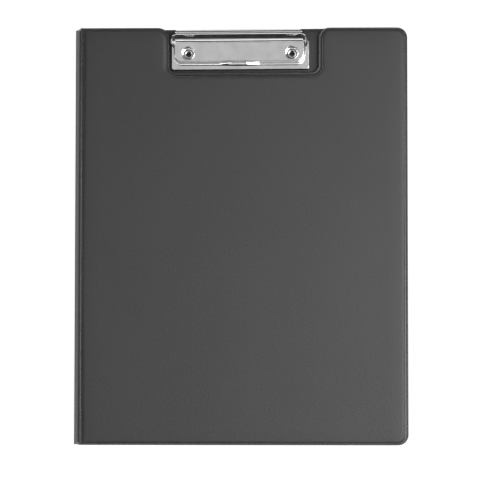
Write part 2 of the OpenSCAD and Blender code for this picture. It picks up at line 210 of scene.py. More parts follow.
def spine_outline(edge, crease):
    """The spine's outline, with a crease on either side."""
    end = END_WELD_SHARE * edge
    return [
        (crease, -HALF_H + end), (SPINE_W - crease, -HALF_H + end),
        (SPINE_W - crease, HALF_H - end), (crease, HALF_H - end),
    ]


# A welded sheet's section, in millimetres
SKIN_T = 0.3
SEAM_GAP = 0.02  # from the middle of the panel to its sheet
BOARD_INSET = 0.9  # from the foot of the shoulder to the board
FACE_DIP = 0.03  # how far the top of the shoulder lies below the face
FACE_RUN = 0.5
SHOULDER_STEPS = 7
SKIN_SMOOTH_ANGLE = 60
# The bead along the edge: (distance from the edge, the same beside a crease, height)
BEAD = (
    (0.0, 0.0, 0.12), (0.12, 0.05, 0.23), (0.32, 0.12, 0.29), (0.5, 0.22, 0.31),
    (0.8, 0.32, 0.3), (1.0, 0.42, 0.27), (1.2, 0.48, 0.25),
)
# The end of the flat weld: (distance before the shoulder, the same beside a crease, height)
WELD_END = ((0.5, 0.16, 0.25), (0.12, 0.06, 0.28))
BED_RINGS = 2
WELD_RINGS = range(BED_RINGS, BED_RINGS + len(BEAD) + len(WELD_END))


def skin_rings(gap):
    """A welded sheet's section, from the board's bed round the edge to the face.

    Each ring holds its distance from the edge, its distance from the crease and its height.
    """
    bed = (WELD_W + BOARD_INSET, gap + BOARD_INSET)
    rings = [(*bed, HALF_T - SKIN_T), (*bed, SEAM_GAP), (0.0, CREASE_START, SEAM_GAP)]
    rings += [(edge, CREASE_START + crease, z) for edge, crease, z in BEAD]
    rings += [(WELD_W - edge, gap - crease, z) for edge, crease, z in WELD_END]
    for i in range(SHOULDER_STEPS + 1):
        a = math.pi / 2 * i / SHOULDER_STEPS
        run = SHOULDER_W * (1 - math.cos(a))
        rise = (HALF_T - FACE_DIP - SHEET_T) * math.sin(a)
        rings.append((WELD_W + run, gap + run, SHEET_T + rise))
    rings.append((WELD_W + SHOULDER_W + FACE_RUN, gap + SHOULDER_W + FACE_RUN, HALF_T))
    return rings


GRID_STEP = 10.0
CUT_GAP = 1e-5
# The vinyl is never quite flat: a wave runs over its width and height, and sways as it goes up
WAVE_DEPTH = 0.05
WAVE_X = 23.0
WAVE_Y = 31.0
SWAY = 1.3
SWAY_Y = 41.0


def grid_face(bm, face, low, high):
    """Cuts a flat face into squares, so that it can be curved a little."""
    parts = [face]
    for axis, normal in enumerate(((1, 0, 0), (0, 1, 0))):
        count = int((high[axis] - low[axis]) / GRID_STEP)
        for i in range(1, count + 1):
            place = [0.0, 0.0, 0.0]
            place[axis] = low[axis] + (high[axis] - low[axis]) * i / (count + 1)
            edges = {edge for part in parts for edge in part.edges}
            corners = {vert for part in parts for vert in part.verts}
            cut = bmesh.ops.bisect_plane(
                bm, geom=[*parts, *edges, *corners], plane_co=place, plane_no=normal, dist=CUT_GAP
            )
            parts = [g for g in cut["geom"] if isinstance(g, bmesh.types.BMFace)]
    return parts


def panel_skin(name, outline, place, gap=CREASE_GAP):
    """One sheet of a panel, closed, with its face up, its rounded shoulder, weld and bead."""
    bm = bmesh.new()
    rings = [
        [bm.verts.new((x, y, z)) for x, y in outline(edge, crease)] for edge, crease, z in skin_rings(gap)
    ]
    for i, (a, b) in enumerate(zip(rings, rings[1:])):
        bridge(bm, a, b)
        if i in WELD_RINGS:
            for face in list(bm.faces)[-len(a):]:
                face.material_index = 1
    bm.faces.new(rings[0])
    face = bm.faces.new(rings[-1])
    xs = [v.co.x for v in rings[-1]]
    ys = [v.co.y for v in rings[-1]]
    border = set(rings[-1])
    for part in grid_face(bm, face, (min(xs), min(ys)), (max(xs), max(ys))):
        for v in part.verts:
            if v not in border and len(v.link_edges) == 4:
                x, y, _ = v.co
                wave = math.sin(x / WAVE_X + SWAY * math.sin(y / SWAY_Y)) * math.cos(y / WAVE_Y)
                v.co.z = HALF_T - WAVE_DEPTH + WAVE_DEPTH * wave
    return finish_mesh(bm, name, place, smooth_angle=SKIN_SMOOTH_ANGLE)


DRILL_LENGTH = 20


def drill(obj, centres, radius):
    """Cuts round holes straight through a panel."""
    bm = bmesh.new()
    for x, y in centres:
        made = bmesh.ops.create_cone(
            bm, segments=ROUND_STEPS, radius1=radius * MM, radius2=radius * MM,
            depth=DRILL_LENGTH * MM, cap_ends=True,
        )
        bmesh.ops.translate(bm, verts=made["verts"], vec=(x * MM, y * MM, 0))
    mesh = bpy.data.meshes.new("drill")
    bm.to_mesh(mesh)
    bm.free()
    cutter = bpy.data.objects.new("drill", mesh)
    bpy.context.scene.collection.objects.link(cutter)
    cut = obj.modifiers.new("holes", "BOOLEAN")
    cut.object = cutter
    cut.operation = "DIFFERENCE"
    cut.solver = "EXACT"
    apply_modifiers(obj)
    bpy.data.objects.remove(cutter)
    return obj


# ---- Creases: a welded bead with a strip on either side ----

STRIP_RUN = 1.7
STRIP_T = 0.28
STRIP_ROWS = 60
BEAD_STEPS = 10
BLEND_REACH = 0.95  # from the axis to the place given on each strip


def crease_strip(name, axis, angle_a, angle_b):
    """Makes a crease's bead and strips, and gives the places between which it bends.

    angle_a and angle_b are the directions of the two strips, from +X towards +Z, with a < b.
    """
    half_angle = math.asin(STRIP_T / CREASE_R)

    def arm(angle):
        along = Vector((math.cos(angle), math.sin(angle)))
        side = Vector((-along.y, along.x)) * STRIP_T
        tip = along * STRIP_RUN
        return tip - side, tip + side

    a_low, a_high = arm(angle_a)
    b_low, b_high = arm(angle_b)
    points = [a_low, a_high]
    for i in range(BEAD_STEPS + 1):
        a = angle_a + half_angle + (angle_b - angle_a - 2 * half_angle) * i / BEAD_STEPS
        points.append(CREASE_R * Vector((math.cos(a), math.sin(a))))
    points += [b_low, b_high]
    outside = 2 * math.pi - (angle_b - angle_a) - 2 * half_angle
    for i in range(2 * BEAD_STEPS + 1):
        a = angle_b + half_angle + outside * i / (2 * BEAD_STEPS)
        points.append(CREASE_R * Vector((math.cos(a), math.sin(a))))
    bm = bmesh.new()
    rings = []
    for row in range(STRIP_ROWS + 1):
        y = HALF_H * (2 * row / STRIP_ROWS - 1)
        rings.append([bm.verts.new((axis.x + p.x, y, axis.z + p.y)) for p in points])
    for a, b in zip(rings, rings[1:]):
        bridge(bm, a, b)
    bm.faces.new(rings[0])
    bm.faces.new(rings[-1])
    obj = finish_mesh(bm, name)
    ends = [
        (axis + BLEND_REACH * Vector((math.cos(angle), 0, math.sin(angle)))) * MM
        for angle in (angle_a, angle_b)
    ]
    return obj, ends


# ---- Materials ----


def srgb(code):
    """Linear colour of a hex value."""
    channels = [int(code[i:i + 2], 16) / 255 for i in (1, 3, 5)]
    return tuple(c / 12.92 if c <= 0.04045 else ((c + 0.055) / 1.055) ** 2.4 for c in channels) + (1.0,)


def per_mm(size):
    """Scale of a pattern on metre coordinates whose features are this many millimetres."""
    return 1 / (size * MM)


def add(tree, kind, inputs=None, **settings):
    """Adds a node with its settings, and its inputs by name or number.

    An input that is given as a node, a socket or a list of them is linked.
    """
    node = tree.nodes.new(kind)
    for key, value in settings.items():
        setattr(node, key, value)
    for key, value in (inputs or {}).items():
        for source in value if isinstance(value, list) else [value]:
            if isinstance(source, bpy.types.Node):
                source = source.outputs[0]
            if isinstance(source, bpy.types.NodeSocket):
                tree.links.new(source, node.inputs[key])
            else:
                node.inputs[key].default_value = source
    return node


def empty_tree(owner):
    """The node tree of a new material or world, emptied."""
    owner.use_nodes = True
    owner.node_tree.nodes.clear()
    return owner.node_tree


def new_material(name):
    """A material, its empty tree, and coordinates that stay with the piece as it moves."""
    material = bpy.data.materials.new(name)
    tree = empty_tree(material)
    return material, tree, add(tree, "ShaderNodeTexCoord").outputs["Object"]


# Nearly all of a noise pattern lies between these values
NOISE_LOW = 0.3
NOISE_HIGH = 0.7


def coat(tree, shades, shade_by, rough, rough_by, **others):
    """Ends a material whose colour and roughness each follow a pattern between two values."""
    dark, light = shades
    low, high = rough
    colour = add(
        tree, "ShaderNodeMix", {"Factor": shade_by, "A": srgb(dark), "B": srgb(light)}, data_type="RGBA"
    ).outputs["Result"]
    roughness = add(tree, "ShaderNodeMapRange", {
        "Value": rough_by, "From Min": NOISE_LOW, "From Max": NOISE_HIGH, "To Min": low, "To Max": high,
    })
    inputs = {"Base Color": colour, "Roughness": roughness, **others}
    shader = add(tree, "ShaderNodeBsdfPrincipled", inputs)
    add(tree, "ShaderNodeOutputMaterial", {"Surface": shader})


def vinyl_film(name, shades, rough, grain):
    """Calendered PVC film, embossed with a fine leather grain: a soft grey sheen over near-black."""
    material, tree, coords = new_material(name)
    # The real grain is about 0.5 mm; it is drawn at 1.4 mm, as fine as the render can show
    cells = add(
        tree, "ShaderNodeTexVoronoi", {"Vector": coords, "Scale": per_mm(1.4)}, feature="SMOOTH_F1"
    )
    fine = add(tree, "ShaderNodeTexNoise", {"Vector": coords, "Scale": per_mm(0.9), "Detail": 3.0})
    height = add(tree, "ShaderNodeMath", {0: cells, 1: fine}, operation="ADD")
    bump = add(tree, "ShaderNodeBump", {"Height": height, "Strength": grain, "Distance": 0.12 * MM})
    # Wide, faint clouds under the fine mottle of the film
    cloud = add(tree, "ShaderNodeTexNoise", {"Vector": coords, "Scale": per_mm(60.0), "Detail": 1.0})
    mottle = add(tree, "ShaderNodeMath", {0: cloud, 1: 0.15, 2: fine}, operation="MULTIPLY_ADD")
    mottle = add(tree, "ShaderNodeMapRange", {"Value": mottle, "From Min": 0.32, "From Max": 0.82})
    coat(tree, shades, mottle, rough, fine, Normal=bump, IOR=1.52)
    return material


def nickel_plate(name, shades, rough, brushed):
    """Bright nickel plating over pressed steel: a neutral mirror with a slight haze and faint lines."""
    material, tree, coords = new_material(name)
    # The haze lies in patches of about 9 mm
    haze = add(tree, "ShaderNodeTexNoise", {"Vector": coords, "Scale": per_mm(9.0), "Detail": 3.0})
    spread = add(tree, "ShaderNodeMapRange", {
        "Value": haze, "From Min": NOISE_LOW, "From Max": NOISE_HIGH,
    })
    # The rolled sheet's lines run along the clip
    along = add(tree, "ShaderNodeMapping", {"Vector": coords, "Scale": (0.03, 2.2, 2.2)})
    lines = add(tree, "ShaderNodeTexNoise", {"Vector": along, "Scale": per_mm(1.0), "Detail": 2.0})
    bump = add(tree, "ShaderNodeBump", {"Height": lines, "Strength": brushed, "Distance": 0.01 * MM})
    coat(tree, shades, spread, rough, haze, Metallic=1.0, Normal=bump)
    return material


# Heights over the floor, in millimetres, at which the painted shade down a rivet's hollow is still full and
# already gone
HOLLOW_PAINTED_SHADE_FULL = 3.3
HOLLOW_PAINTED_SHADE_GONE = 3.9


def rivet_plate(name):
    """Nickel-plated tubular rivet: bright on its rolled head, with painted shade down its hollow: a dark,
    dull colour with no metal.
    """
    material, tree, coords = new_material(name)
    height = add(tree, "ShaderNodeSeparateXYZ", {0: coords}).outputs["Z"]
    # Painted shade: below these heights the hollow gets a dark, dull colour with no metal, in place of the
    # nickel
    outside_painted_shade = add(tree, "ShaderNodeMapRange", {
        "Value": height, "From Min": HOLLOW_PAINTED_SHADE_FULL * MM, "From Max": HOLLOW_PAINTED_SHADE_GONE * MM,
    })
    haze = add(tree, "ShaderNodeTexNoise", {"Vector": coords, "Scale": per_mm(2.0), "Detail": 3.0})
    nickel = add(
        tree, "ShaderNodeMix", {"Factor": haze, "A": srgb("#c6c6c6"), "B": srgb("#d4d4d4")},
        data_type="RGBA",
    ).outputs["Result"]
    # The dark colour is the painted shade down the hollow
    colour = add(
        tree, "ShaderNodeMix", {"Factor": outside_painted_shade, "A": srgb("#1c1c1c"), "B": nickel}, data_type="RGBA"
    ).outputs["Result"]
    roughness = add(tree, "ShaderNodeMapRange", {"Value": outside_painted_shade, "To Min": 0.6, "To Max": 0.1})
    shader = add(tree, "ShaderNodeBsdfPrincipled", {
        "Base Color": colour, "Metallic": outside_painted_shade, "Roughness": roughness,
    })
    add(tree, "ShaderNodeOutputMaterial", {"Surface": shader})
    return material


def spring_steel(name):
    """Drawn spring wire: grey and oily, with an uneven sheen."""
    material, tree, coords = new_material(name)
    dull = add(tree, "ShaderNodeTexNoise", {"Vector": coords, "Scale": per_mm(0.8), "Detail": 3.0})
    coat(tree, ("#6f7276", "#989b9e"), dull, (0.28, 0.42), dull, Metallic=1.0)
    return material


def greyboard(name):
    """Uncoated grey recycled board: dull, with paper fibres of about 2 mm that lie along it."""
    material, tree, coords = new_material(name)
    along = add(tree, "ShaderNodeMapping", {"Vector": coords, "Scale": (1.0, 0.3, 1.0)})
    fibre = add(tree, "ShaderNodeTexNoise", {"Vector": along, "Scale": per_mm(0.6), "Detail": 4.0})
    bump = add(tree, "ShaderNodeBump", {"Height": fibre, "Strength": 0.3, "Distance": 0.05 * MM})
    coat(tree, ("#857d73", "#a79e92"), fibre, (0.85, 0.95), fibre, Normal=bump)
    return material


VINYL = vinyl_film("grained_black_vinyl", ("#1a1a1b", "#2c2c2d"), (0.40, 0.56), 0.42)
WELDED_VINYL = vinyl_film("welded_vinyl", ("#1a1a1b", "#222223"), (0.24, 0.32), 0.12)
POCKET_FILM = vinyl_film("smooth_vinyl_film", ("#2f2f30", "#39393a"), (0.3, 0.4), 0.1)
FLAP_NICKEL = nickel_plate("nickel_plated_flap", ("#cacaca", "#d4d4d4"), (0.09, 0.14), 0.06)
BRIGHT_NICKEL = nickel_plate("bright_nickel_plate", ("#c8c8c8", "#d4d4d4"), (0.07, 0.12), 0.05)
RIVET_NICKEL = rivet_plate("nickel_plated_rivet")
SPRING_STEEL = spring_steel("spring_steel")
GREYBOARD = greyboard("greyboard")
SKIN_FINISH = (VINYL, WELDED_VINYL)  # of a sheet's face and of its weld


def dress(obj, *finishes):
    """Gives an object its finishes. Where they are several, each face keeps the number of its own."""
    numbers = [face.material_index for face in obj.data.polygons]
    obj.data.materials.clear()
    for finish in finishes:
        obj.data.materials.append(finish)
    if len(finishes) > 1:
        obj.data.polygons.foreach_set("material_index", numbers)


def place_piece(obj, finishes, slot, body, *nodes):
    """Gives a piece its finishes and the body it rides on, and hides the nodes that it stands for. The slot
    is not used.
    """
    dress(obj, *finishes)
    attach(obj, body)
    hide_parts(*nodes)


# ---- Build: vinyl ----

RIVETS = [
    ((in_mm(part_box(node)[0]) + in_mm(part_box(node)[1])) / 2).xy for node in ("rivet_left", "rivet_right")
]
RIVET_HOLE = 2.45
WASHER_HOLE = 6.1

back_outer = panel_skin("back_outer_skin", plain_outline, ON_BACK)
back_inner = panel_skin("back_inner_skin", plain_outline, ON_BACK @ FLIP)
drill(back_outer, RIVETS, WASHER_HOLE)
drill(back_inner, RIVETS, RIVET_HOLE)
place_piece(back_outer, SKIN_FINISH, "vinyl_film", "back", "back_outer_sheet")
place_piece(back_inner, SKIN_FINISH, "vinyl_film", "back", "back_inner_sheet")
for side, flip in (("outer", Matrix.Identity(4)), ("inner", FLIP)):
    spine = panel_skin(f"spine_{side}_skin", spine_outline, ON_SPINE @ flip)
    place_piece(spine, SKIN_FINISH, "vinyl_film", "spine", f"spine_{side}_sheet")
    cover = panel_skin(f"cover_{side}_skin", notched_outline, ON_COVER @ flip, COVER_CREASE_GAP)
    place_piece(cover, SKIN_FINISH, "vinyl_film", "cover", f"cover_{side}_sheet")

SPINE_UP = math.pi / 2 - SPINE_LEAN
CREASES = (
    ("lower_crease", LOWER, 0.0, SPINE_UP, "back", "spine"),
    ("upper_crease", UPPER, -math.pi + SPINE_UP, -COVER_SLOPE, "spine", "cover"),
)
for node, axis, angle_a, angle_b, body_a, body_b in CREASES:
    strip, ends = crease_strip(f"{node}_strip", axis, angle_a, angle_b)
    dress(strip, WELDED_VINYL)
    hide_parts(node)
    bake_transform(strip)

for node in ("back_board", "spine_board", "cover_board"):
    dress(frame["nodes"][node], GREYBOARD)
dress(frame["nodes"]["cover_pocket"], POCKET_FILM)

# ---- Clip: pressed sheet steel, measured from the pin's axis ----

FLAP_BOX = [in_mm(corner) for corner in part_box("clip_flap")]
CLIP_X = (BASE_BOX[0].x + BASE_BOX[1].x) / 2
FLAP_X = (FLAP_BOX[0].x + FLAP_BOX[1].x) / 2
AT_CLIP = Matrix.Translation((CLIP_X, PIVOT.y, PIVOT.z))
AT_FLAP = Matrix.Translation((FLAP_X, PIVOT.y, PIVOT.z))
EAR_R = 2.1

FLAP_T = 0.8
FLAP_HALF_W = 50.0
FLAP_FRONT = 13.9
FLAP_REAR = EAR_R
FLAP_TOP = 3.2
FLAP_LOW = -2.1
FLAP_BEND = 0.85
FLAP_SIDE_BEND = 1.1
FLAP_CORNER_R = 6.0
# The lip, turned outwards along the front and a little at the sides
LIP_RUN = 2.1
LIP_FILLET = 0.3
LIP_DROOP = 0.3
SIDE_LIP_RUN = 0.5
# The arch in the middle of the lip, with a ramp on either side
ARCH_HALF_W = 17.0
ARCH_H = 2.1
ARCH_RAMP = 13.0
ARCH_BEND = 0.8
# Where a side wall starts to turn into the ear round the pin, and over what length
EAR_START = -4.0
EAR_RUN = 3.0
# Bend and fillet are at most these shares of the wall, so that they fit where it is low
BEND_SHARE = 0.6
FILLET_SHARE = 0.35

BASE_T = 0.9
BASE_HALF_W = (BASE_BOX[1].x - BASE_BOX[0].x) / 2
BASE_REACH = 0.3  # how much further forward the base comes than its solid, as photographed
BASE_FRONT = PIVOT.y - BASE_BOX[0].y + BASE_REACH
BASE_REAR = BASE_BOX[1].y - PIVOT.y
BASE_TOP = -2.4
BASE_LOW = 2 * HALF_T - PIVOT.z
BASE_BEND = 1.2
BASE_SIDE_BEND = 0.8
BASE_CORNER_R = 2.0

FRONT_STEPS = 96
SIDE_STEPS = 16
BEND_STEPS = 7
WALL_STEPS = 3
EDGE_ROUND = 0.16
EDGE_SEGMENTS = 2
BEND_ANGLE = 50  # an edge sharper than this, in degrees, is broken
JOINED_ANGLE = 55
FLAT_WEIGHT = 80  # how much more a large face counts in the shading than a small one


def smooth_step(t):
    """Eases from 0 to 1 as t goes from 0 to 1."""
    t = min(max(t, 0.0), 1.0)
    return t * t * (3 - 2 * t)


def tray_path(half_w, front, rear, corner):
    """The U-shaped outside line of a pressed tray, from left rear to right rear.

    Each point holds its place, the way out of the tray, and how much it belongs to the front.
    """
    x, y = half_w - corner, corner - front
    left = [(-half_w, rear + (y - rear) * i / SIDE_STEPS, -1.0, 0.0, 0.0) for i in range(SIDE_STEPS)]
    for i in range(CORNER_STEPS + 1):
        a = math.pi / 2 * i / CORNER_STEPS
        out = (-math.cos(a), -math.sin(a))
        left.append((corner * out[0] - x, y + corner * out[1], *out, smooth_step(i / CORNER_STEPS)))
    line = [(x * (2 * i / FRONT_STEPS - 1), -front, 0.0, -1.0, 1.0) for i in range(1, FRONT_STEPS)]
    right = [(-px, py, -ox, oy, share) for px, py, ox, oy, share in left[::-1]]
    return left + line + right


def rounded_bend(bend, top):
    """The outside of a bend from flat to upright, as (distance inside the tray's line, height)."""
    angles = [math.pi / 2 * i / BEND_STEPS for i in range(BEND_STEPS + 1)]
    return [(bend * (1 - math.sin(a)), top - bend * (1 - math.cos(a))) for a in angles]


def pressed_tray(bm, path, top, section, dishes):
    """A plate with bent-down walls on three sides and dished holes, as one surface.

    section gives the wall at a point of the path, from the plate down to its low edge. dishes holds
    the middle of each hole and its profile.
    """
    columns = []
    for x, y, out_x, out_y, share in path:
        columns.append([
            bm.verts.new((x - inset * out_x, y - inset * out_y, z)) for inset, z in section(x, y, share)
        ])
    for a, b in zip(columns, columns[1:]):
        for i in range(len(a) - 1):
            bm.faces.new((a[i], b[i], b[i + 1], a[i + 1]))
    inner = [column[0] for column in columns]
    loops = [bm.edges.get((inner[i], inner[i + 1])) for i in range(len(inner) - 1)]
    loops.append(bm.edges.new((inner[-1], inner[0])))
    for (cx, cy), profile in dishes:
        previous = None
        for r, dz in profile:
            ring = [
                bm.verts.new((cx + r * math.cos(a), cy + r * math.sin(a), top + dz))
                for a in [2 * math.pi * i / ROUND_STEPS for i in range(ROUND_STEPS)]
            ]
            if previous:
                bridge(bm, previous, ring)
            else:
                loops += [bm.edges.new((ring[i - 1], ring[i])) for i in range(ROUND_STEPS)]
            previous = ring
    bmesh.ops.triangle_fill(bm, edges=loops, use_beauty=True, normal=(0, 0, 1))


def even_normals(obj):
    """Lets the large flat faces set the shading, so that rounded edges don't tint them."""
    normals = obj.modifiers.new("normals", "WEIGHTED_NORMAL")
    normals.keep_sharp = True
    normals.weight = FLAT_WEIGHT
    return apply_modifiers(obj)


def sheet_metal(bm, name, thickness, place):
    """Gives a pressed surface its thickness, with softly broken edges."""
    obj = finish_mesh(bm, name, place, smooth_angle=BEND_ANGLE)
    wall = obj.modifiers.new("wall", "SOLIDIFY")
    wall.thickness = thickness * MM
    wall.offset = -1
    apply_modifiers(obj)
    edge = obj.modifiers.new("edges", "BEVEL")
    edge.width = EDGE_ROUND * MM
    edge.segments = EDGE_SEGMENTS
    edge.limit_method = "ANGLE"
    edge.angle_limit = math.radians(BEND_ANGLE)
    edge.use_clamp_overlap = True
    return even_normals(obj)


def join(name, parts):
    """Joins finished parts into one mesh."""
    bm = bmesh.new()
    for part in parts:
        bm.from_mesh(part.data)
        bpy.data.objects.remove(part)
    mesh = bpy.data.meshes.new(name)
    bm.to_mesh(mesh)
    bm.free()
    mesh.shade_smooth()
    mesh.set_sharp_from_angle(angle=math.radians(JOINED_ANGLE))
    obj = bpy.data.objects.new(name, mesh)
    bpy.context.scene.collection.objects.link(obj)
    return even_normals(obj)


# The lever: a leaning sheet with ears, wings at its sides, and a rolled top edge

LEVER_LEAN = math.radians(16.5)
ROLL_R = 2.0
ROLL_CENTRE = Vector((7.2, FLAP_BOX[1].z - PIVOT.z - ROLL_R))
ROLL_SWEEP = math.radians(265)
LEVER_TOP_HALF_W = 47.3
LEVER_WIDEST = 51.4
LEVER_WIDEST_Z = 5.6
LEVER_FLARE_Z = 2.0
LEVER_FOOT_Z = 1.0
WING_RUN = 4.2
WING_LEAST = 0.03
WING_TAPER = 1.4
WING_BEND = 1.5
WING_BEND_SHARE = 0.9
WING_STEPS = 6
LEVER_ROWS = 26
ROLL_ROWS = 22
LEVER_COLUMNS = 40


def lever_half_width(z):
    """Half the lever's width at a height: it flares over its ears and rounds in towards its roll."""
    if z < LEVER_WIDEST_Z:
        flare = smooth_step((z - LEVER_FLARE_Z) / (LEVER_WIDEST_Z - LEVER_FLARE_Z))
        return FLAP_HALF_W + (LEVER_WIDEST - FLAP_HALF_W) * flare
    rise = min((z - LEVER_WIDEST_Z) / (ROLL_CENTRE.y - LEVER_WIDEST_Z), 1.0)
    return LEVER_TOP_HALF_W + (LEVER_WIDEST - LEVER_TOP_HALF_W) * math.sqrt(max(1 - rise * rise, 0.0))


def lever_sheet(bm):
    """The lever's surface, row by row from its foot up and round its roll, with wings that lean back."""
    normal = Vector((-math.cos(LEVER_LEAN), math.sin(LEVER_LEAN)))
    touch = ROLL_CENTRE + ROLL_R * normal
    foot = touch - Vector((math.sin(LEVER_LEAN), math.cos(LEVER_LEAN))) * (
        (touch.y - LEVER_FOOT_Z) / math.cos(LEVER_LEAN)
    )
    rows = []
    for i in range(LEVER_ROWS + 1):
        p = foot.lerp(touch, i / LEVER_ROWS)
        rise = min(max((p.y - FLAP_TOP) / (touch.y - FLAP_TOP), 0.0), 1.0)
        wing = WING_RUN * (1 - rise) ** WING_TAPER
        rows.append((p, lever_half_width(p.y), max(wing, WING_LEAST)))
    start = math.atan2(normal.y, normal.x)
    for i in range(1, ROLL_ROWS + 1):
        a = start - ROLL_SWEEP * i / ROLL_ROWS
        p = ROLL_CENTRE + ROLL_R * Vector((math.cos(a), math.sin(a)))
        rows.append((p, LEVER_TOP_HALF_W, WING_LEAST))
    rings = []
    for p, half_w, wing in rows:
        bend = min(WING_BEND, WING_BEND_SHARE * wing)
        side = [(half_w, -wing), (half_w, -(wing + bend) / 2)]
        side += [
            (half_w - bend + bend * math.cos(a), -bend + bend * math.sin(a))
            for a in [math.pi / 2 * k / WING_STEPS for k in range(WING_STEPS + 1)]
        ]
        x_end = side[-1][0]
        middle = [(x_end * (1 - 2 * k / LEVER_COLUMNS), 0.0) for k in range(1, LEVER_COLUMNS)]
        line = side + middle + [(-x, y) for x, y in side[::-1]]
        rings.append([bm.verts.new((x, p.x + y, p.y)) for x, y in line])
    for a, b in zip(rings, rings[1:]):
        for i in range(len(a) - 1):
            bm.faces.new((a[i], b[i], b[i + 1], a[i + 1]))


def bar(bm, profile, x0, x1):
    """A closed bar along X. The profile holds (y, z)."""
    ends = [[bm.verts.new((x, y, z)) for y, z in profile] for x in (x0, x1)]
    bridge(bm, *ends)
    for end in ends:
        bm.faces.new(end)


FILLET_R = 2.6
FILLET_STEPS = 10
FILLET_LIFT = 0.004  # keeps its thin edge just over the flap
FILLET_ROOT = (0.6, 0.4)  # how far it reaches into the lever and the flap
FILLET_END_GAP = 1.2
FILLET_SMOOTH_ANGLE = 30


def lever_fillet(bm):
    """The inside of the bend between the flap and the lever."""
    foot_y = ROLL_CENTRE.x - ROLL_R / math.cos(LEVER_LEAN)
    foot_y -= math.tan(LEVER_LEAN) * (ROLL_CENTRE.y - FLAP_TOP)
    turn = math.pi / 2 - LEVER_LEAN
    reach = FILLET_R * math.tan(turn / 2)
    y, z = foot_y - reach, FLAP_TOP + FILLET_R + FILLET_LIFT
    profile = [
        (y + FILLET_R * math.sin(a), z - FILLET_R * math.cos(a))
        for a in [turn * i / FILLET_STEPS for i in range(FILLET_STEPS + 1)]
    ]
    root_y, root_z = FILLET_ROOT
    profile += [(foot_y + root_y, FLAP_TOP - root_z), (y, FLAP_TOP - root_z)]
    bar(bm, profile, -FLAP_HALF_W + FILLET_END_GAP, FLAP_HALF_W - FILLET_END_GAP)


def flap_section(x, y, share):
    """The flap's wall: a bend, a short drop and a foot turned outwards, which rises in an arch in front.

    At the rear of each side the wall rounds the pin instead.
    """
    arch = share * smooth_step((ARCH_HALF_W - abs(x)) / ARCH_RAMP)
    ear = smooth_step((y - EAR_START) / EAR_RUN)
    low = FLAP_LOW + FLAP_T * (1 - ear) + LIP_DROOP * share ** 3 + ARCH_H * arch
    if y > 0:
        low = -math.sqrt(max(EAR_R ** 2 - y ** 2, 0.0))
    drop = FLAP_TOP - low
    bend = FLAP_SIDE_BEND + (FLAP_BEND + ARCH_BEND * arch - FLAP_SIDE_BEND) * share
    run = (SIDE_LIP_RUN + (LIP_RUN - SIDE_LIP_RUN) * share) * (1 - ear)
    fillet = min(LIP_FILLET, run, FILLET_SHARE * drop)
    points = rounded_bend(min(bend, BEND_SHARE * drop), FLAP_TOP)
    start, wall_end = points[-1][1], low + fillet
    points += [(0.0, start + (wall_end - start) * i / WALL_STEPS) for i in range(1, WALL_STEPS + 1)]
    angles = [math.pi / 2 * i / BEND_STEPS for i in range(1, BEND_STEPS + 1)]
    points += [(-fillet * (1 - math.cos(a)), low + fillet * (1 - math.sin(a))) for a in angles]
    for i in range(1, BEND_STEPS + 1):
        t = i / BEND_STEPS
        points.append((-fillet - (run - fillet) * t, low - LIP_DROOP * share ** 3 * t * t))
    return points


def base_section(x, y, share):
    """The base's wall: a tight bend and a short drop to the cover."""
    bend = BASE_SIDE_BEND + (BASE_BEND - BASE_SIDE_BEND) * share
    return rounded_bend(bend, BASE_TOP) + [(0.0, BASE_LOW)]


# Round the rivets the flap is dished to an open hole, and the base is dished down to the board.
# Each dish is given as (distance from its middle, height over its plate).
RIVET_PLACES = [(x - CLIP_X, y - PIVOT.y) for x, y in RIVETS]
FLAP_DISH = [
    (5.5, 0.0), (5.38, 0.06), (5.22, 0.2), (5.02, 0.28), (4.82, 0.25), (4.66, 0.1), (4.58, -0.15),
    (4.55, -0.8),
]
BASE_DISH = [
    (7.1, 0.0), (6.8, -0.06), (6.5, -0.25), (6.2, -0.6), (5.7, -1.0), (5.0, -1.35), (4.3, -1.55),
    (3.8, -1.6), (2.5, -1.6),
]


def build_flap():
    """The flap in one mesh: its pressed tray, the lever, and the bend between them."""
    shift = CLIP_X - FLAP_X
    bm = bmesh.new()
    pressed_tray(
        bm, tray_path(FLAP_HALF_W, FLAP_FRONT, FLAP_REAR, FLAP_CORNER_R), FLAP_TOP,
        flap_section, [((x + shift, y), FLAP_DISH) for x, y in RIVET_PLACES],
    )
    plate = sheet_metal(bm, "flap_tray", FLAP_T, AT_FLAP)
    bm = bmesh.new()
    lever_sheet(bm)
    lever = sheet_metal(bm, "flap_lever", FLAP_T, AT_FLAP)
    bm = bmesh.new()
    lever_fillet(bm)
    fillet = finish_mesh(bm, "flap_fillet", AT_FLAP, smooth_angle=FILLET_SMOOTH_ANGLE)
    return join("clip_flap_plate", [plate, lever, fillet])


def build_base():
    """The base plate, dished down to the board as seats for the rivets."""
    bm = bmesh.new()
    pressed_tray(
        bm, tray_path(BASE_HALF_W, BASE_FRONT, BASE_REAR, BASE_CORNER_R), BASE_TOP,
        base_section, [(place, BASE_DISH) for place in RIVET_PLACES],
    )
    return sheet_metal(bm, "clip_base_plate", BASE_T, AT_CLIP)


# ---- Clip: rivets and spring, made by Geometry Nodes in millimetres ----

SECTION_STEPS = 16


def size_tree(name, sizes):
    """A Geometry Nodes tree with a named input for each of its sizes."""
    tree = bpy.data.node_groups.new(name, "GeometryNodeTree")
    for label in sizes:
        tree.interface.new_socket(label, in_out="INPUT", socket_type="NodeSocketFloat")
    tree.interface.new_socket("Mesh", in_out="OUTPUT", socket_type="NodeSocketGeometry")
    return tree, add(tree, "NodeGroupInput").outputs


def finish_tree(tree, mesh, material):
    """Ends a tree with plain geometry in its material, as the export needs it."""
    mesh = add(tree, "GeometryNodeRealizeInstances", {"Geometry": mesh})
    mesh = add(tree, "GeometryNodeSetMaterial", {"Geometry": mesh, "Material": material})
    add(tree, "NodeGroupOutput", {0: mesh})
    return tree


